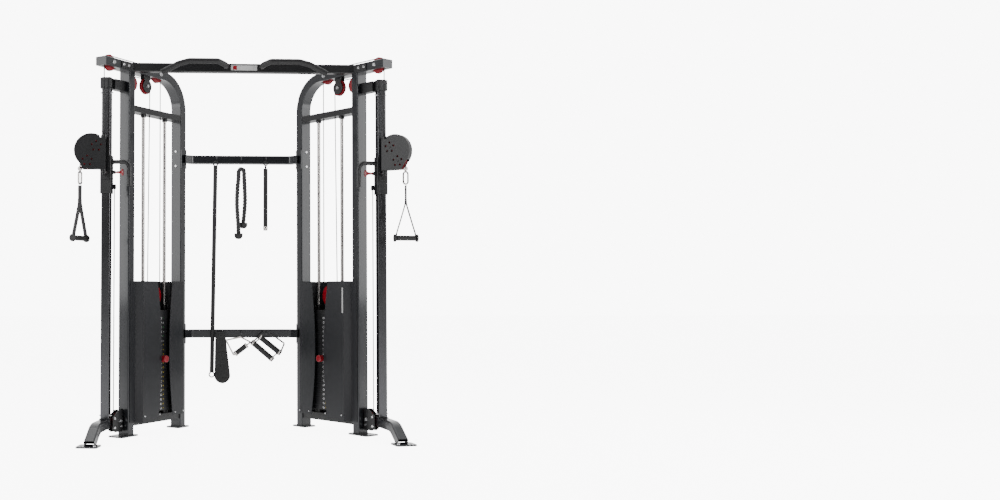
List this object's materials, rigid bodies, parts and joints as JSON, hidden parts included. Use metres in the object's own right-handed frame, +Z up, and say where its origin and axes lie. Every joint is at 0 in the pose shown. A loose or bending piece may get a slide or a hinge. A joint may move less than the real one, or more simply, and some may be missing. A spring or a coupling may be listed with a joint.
{
  "type": "functional trainer",
  "caption": "Free-standing cable machine: angled towers with weight stacks, swivelling height-adjustable cable heads, pull-up beam and hung accessories.",
  "frame": {"origin": "on the floor, under the middle of the machine's width and depth", "axes": "+Z up, -Y towards the user, +X to the machine's right-hand tower as seen from the front"},
  "size_m": [1.9234, 0.9567, 2.1415],
  "materials": {
    "graphite_paint": "gloss powder coat, dark graphite",
    "black_paint": "satin black powder coat",
    "shroud_paint": "fine textured charcoal",
    "column_chrome": "polished dark chrome",
    "rod_chrome": "polished",
    "bright_steel": "zinc plated",
    "plate_black": "painted",
    "red_plastic": "semi-gloss",
    "black_rubber": "matt",
    "cable_coat": "smooth black sheath",
    "webbing": "woven nylon",
    "pad_fabric": "nylon over foam"
  },
  "bodies": {
    "root": {"main_beam": "black_paint", "pullup_grips": "black_rubber", "arch_frames": "graphite_paint", "front_uprights": "graphite_paint", "column_posts": "column_chrome", "column_brackets": "black_paint", "front_legs": "graphite_paint", "rod_holders": "black_paint", "guide_rods": "rod_chrome", "shrouds": "shroud_paint", "resting_plates": "plate_black", "crossbars": "graphite_paint", "frame_bolts": "bright_steel", "fixed_cables": "cable_coat", "inner_pulleys": "red_plastic", "pulley_brackets": "black_paint", "long_bar": "black_rubber", "triceps_rope": "webbing", "short_bar": "black_rubber", "ankle_strap": "pad_fabric", "stirrup_handle": "rod_chrome", "row_handle": "black_rubber", "left_upper_cable": "cable_coat", "left_lower_cable": "cable_coat", "left_stack_cables": "cable_coat", "right_upper_cable": "cable_coat", "right_lower_cable": "cable_coat", "right_stack_cables": "cable_coat"},
    "left_carriage": {"left_carriage": "black_paint"},
    "left_pull_pin": {"left_pull_pin": "red_plastic"},
    "left_head": {"left_head_housing": "black_paint", "left_head_cable": "cable_coat"},
    "left_head_upper_wheel": {"left_head_upper_pulley": "red_plastic"},
    "left_head_lower_wheel": {"left_head_lower_pulley": "red_plastic"},
    "left_handle": {"left_snap_hook": "rod_chrome", "left_handle_strap": "webbing", "left_handle_grip": "black_rubber"},
    "left_stack": {"left_lifted_stack": "plate_black"},
    "left_stack_wheel": {"left_stack_pulley": "red_plastic"},
    "left_selector": {"left_selector_pin": "red_plastic"},
    "left_wing_wheel": {"left_wing_pulley": "red_plastic"},
    "left_top_rear_wheel": {"left_top_rear_pulley": "red_plastic"},
    "left_top_mid_wheel": {"left_top_mid_pulley": "red_plastic"},
    "left_base_wheel": {"left_base_pulley": "red_plastic"},
    "right_carriage": {"right_carriage": "black_paint"},
    "right_pull_pin": {"right_pull_pin": "red_plastic"},
    "right_head": {"right_head_housing": "black_paint", "right_head_cable": "cable_coat"},
    "right_head_upper_wheel": {"right_head_upper_pulley": "red_plastic"},
    "right_head_lower_wheel": {"right_head_lower_pulley": "red_plastic"},
    "right_handle": {"right_snap_hook": "rod_chrome", "right_handle_strap": "webbing", "right_handle_grip": "black_rubber"},
    "right_stack": {"right_lifted_stack": "plate_black"},
    "right_stack_wheel": {"right_stack_pulley": "red_plastic"},
    "right_selector": {"right_selector_pin": "red_plastic"},
    "right_wing_wheel": {"right_wing_pulley": "red_plastic"},
    "right_top_rear_wheel": {"right_top_rear_pulley": "red_plastic"},
    "right_top_mid_wheel": {"right_top_mid_pulley": "red_plastic"},
    "right_base_wheel": {"right_base_pulley": "red_plastic"}
  },
  "joints": [
    {"name": "left_carriage_slide", "type": "slide", "parent": "root", "child": "left_carriage", "axis": [0, 0, 1], "range_m": [-0.9075, 0.2475], "deforming": ["left_upper_cable", "left_lower_cable"]},
    {"name": "left_pin_pull", "type": "slide", "parent": "left_carriage", "child": "left_pull_pin", "axis": [0.9848, -0.1736, 0], "range_m": [-0.005, 0.007], "stiffness_N_per_m": 600, "springref_m": -0.015},
    {"name": "left_head_swivel", "type": "hinge", "parent": "left_carriage", "child": "left_head", "pos_m": [-0.78406, -0.1446, 1.6], "axis": [0, 0, 1], "range_deg": [-10, 170]},
    {"name": "left_head_upper_spin", "type": "hinge", "parent": "left_head", "child": "left_head_upper_wheel", "pos_m": [-0.82506, -0.1446, 1.62], "axis": [0, 1, 0], "range_deg": [-5, 1300]},
    {"name": "left_head_lower_spin", "type": "hinge", "parent": "left_head", "child": "left_head_lower_wheel", "pos_m": [-0.87406, -0.1446, 1.54], "axis": [0, 1, 0], "range_deg": [-1300, 5]},
    {"name": "left_handle_pull", "type": "slide", "parent": "left_head", "child": "left_handle", "axis": [0, 0, -1], "range_m": [0, 0.92]},
    {"name": "left_stack_lift", "type": "slide", "parent": "root", "child": "left_stack", "axis": [0, 0, 1], "range_m": [0, 0.46], "deforming": ["left_stack_cables"]},
    {"name": "left_selector_pull", "type": "slide", "parent": "left_stack", "child": "left_selector", "axis": [0.809, -0.5878, 0], "range_m": [0, 0.09]},
    {"name": "left_stack_spin", "type": "hinge", "parent": "left_stack", "child": "left_stack_wheel", "pos_m": [-0.5219, 0.21622, 0.79], "axis": [0.809, -0.5878, 0], "range_deg": [-5, 470]},
    {"name": "left_wing_spin", "type": "hinge", "parent": "root", "child": "left_wing_wheel", "pos_m": [-0.75996, -0.11143, 2.095], "axis": [0.809, -0.5878, 0], "range_deg": [-5, 1300]},
    {"name": "left_top_rear_spin", "type": "hinge", "parent": "root", "child": "left_top_rear_wheel", "pos_m": [-0.51221, 0.22957, 2.095], "axis": [0.809, -0.5878, 0], "range_deg": [-5, 1300]},
    {"name": "left_top_mid_spin", "type": "hinge", "parent": "root", "child": "left_top_mid_wheel", "pos_m": [-0.57069, 0.14907, 2.013], "axis": [0.809, -0.5878, 0], "range_deg": [-1285, 360]},
    {"name": "left_base_spin", "type": "hinge", "parent": "root", "child": "left_base_wheel", "pos_m": [-0.70869, -0.01024, 0.09], "axis": [0.809, -0.5878, 0], "range_deg": [-360, 1285]},
    {"name": "right_carriage_slide", "type": "slide", "parent": "root", "child": "right_carriage", "axis": [0, 0, 1], "range_m": [-0.9075, 0.2475], "deforming": ["right_upper_cable", "right_lower_cable"]},
    {"name": "right_pin_pull", "type": "slide", "parent": "right_carriage", "child": "right_pull_pin", "axis": [-0.9848, -0.1736, 0], "range_m": [-0.005, 0.007], "stiffness_N_per_m": 600, "springref_m": -0.015},
    {"name": "right_head_swivel", "type": "hinge", "parent": "right_carriage", "child": "right_head", "pos_m": [0.78406, -0.1446, 1.6], "axis": [0, 0, 1], "range_deg": [-132, 48]},
    {"name": "right_head_upper_spin", "type": "hinge", "parent": "right_head", "child": "right_head_upper_wheel", "pos_m": [0.81637, -0.16985, 1.62], "axis": [-0.6157, -0.788, 0], "range_deg": [-5, 1300]},
    {"name": "right_head_lower_spin", "type": "hinge", "parent": "right_head", "child": "right_head_lower_wheel", "pos_m": [0.85498, -0.20001, 1.54], "axis": [-0.6157, -0.788, 0], "range_deg": [-1300, 5]},
    {"name": "right_handle_pull", "type": "slide", "parent": "right_head", "child": "right_handle", "axis": [0, 0, -1], "range_m": [0, 0.92]},
    {"name": "right_stack_lift", "type": "slide", "parent": "root", "child": "right_stack", "axis": [0, 0, 1], "range_m": [0, 0.46], "deforming": ["right_stack_cables"]},
    {"name": "right_selector_pull", "type": "slide", "parent": "right_stack", "child": "right_selector", "axis": [-0.809, -0.5878, 0], "range_m": [0, 0.09]},
    {"name": "right_stack_spin", "type": "hinge", "parent": "right_stack", "child": "right_stack_wheel", "pos_m": [0.5219, 0.21622, 0.79], "axis": [0.809, 0.5878, 0], "range_deg": [-5, 470]},
    {"name": "right_wing_spin", "type": "hinge", "parent": "root", "child": "right_wing_wheel", "pos_m": [0.75996, -0.11143, 2.095], "axis": [0.809, 0.5878, 0], "range_deg": [-5, 1300]},
    {"name": "right_top_rear_spin", "type": "hinge", "parent": "root", "child": "right_top_rear_wheel", "pos_m": [0.51221, 0.22957, 2.095], "axis": [0.809, 0.5878, 0], "range_deg": [-5, 1300]},
    {"name": "right_top_mid_spin", "type": "hinge", "parent": "root", "child": "right_top_mid_wheel", "pos_m": [0.57069, 0.14907, 2.013], "axis": [0.809, 0.5878, 0], "range_deg": [-1285, 360]},
    {"name": "right_base_spin", "type": "hinge", "parent": "root", "child": "right_base_wheel", "pos_m": [0.70869, -0.01024, 0.09], "axis": [0.809, 0.5878, 0], "range_deg": [-360, 1285]}
  ],
  "couplings": [
    {"joint": "left_head_upper_spin", "follows": "left_stack_lift", "rad_per_m": 48.781},
    {"joint": "left_head_lower_spin", "follows": "left_stack_lift", "rad_per_m": -48.781},
    {"joint": "left_handle_pull", "follows": "left_stack_lift", "ratio": 2},
    {"joint": "left_stack_spin", "follows": "left_stack_lift", "rad_per_m": 17.391},
    {"joint": "left_wing_spin", "follows": "left_stack_lift", "rad_per_m": 48.781},
    {"joint": "left_top_rear_spin", "follows": "left_stack_lift", "rad_per_m": 48.781},
    {"joint": "left_top_mid_spin", "follows": "left_carriage_slide", "rad_per_m": 24.39},
    {"joint": "left_base_spin", "follows": "left_carriage_slide", "rad_per_m": -24.39},
    {"joint": "right_head_upper_spin", "follows": "right_stack_lift", "rad_per_m": 48.781},
    {"joint": "right_head_lower_spin", "follows": "right_stack_lift", "rad_per_m": -48.781},
    {"joint": "right_handle_pull", "follows": "right_stack_lift", "ratio": 2},
    {"joint": "right_stack_spin", "follows": "right_stack_lift", "rad_per_m": 17.391},
    {"joint": "right_wing_spin", "follows": "right_stack_lift", "rad_per_m": 48.781},
    {"joint": "right_top_rear_spin", "follows": "right_stack_lift", "rad_per_m": 48.781},
    {"joint": "right_top_mid_spin", "follows": "right_carriage_slide", "rad_per_m": 24.39},
    {"joint": "right_base_spin", "follows": "right_carriage_slide", "rad_per_m": -24.39}
  ]
}
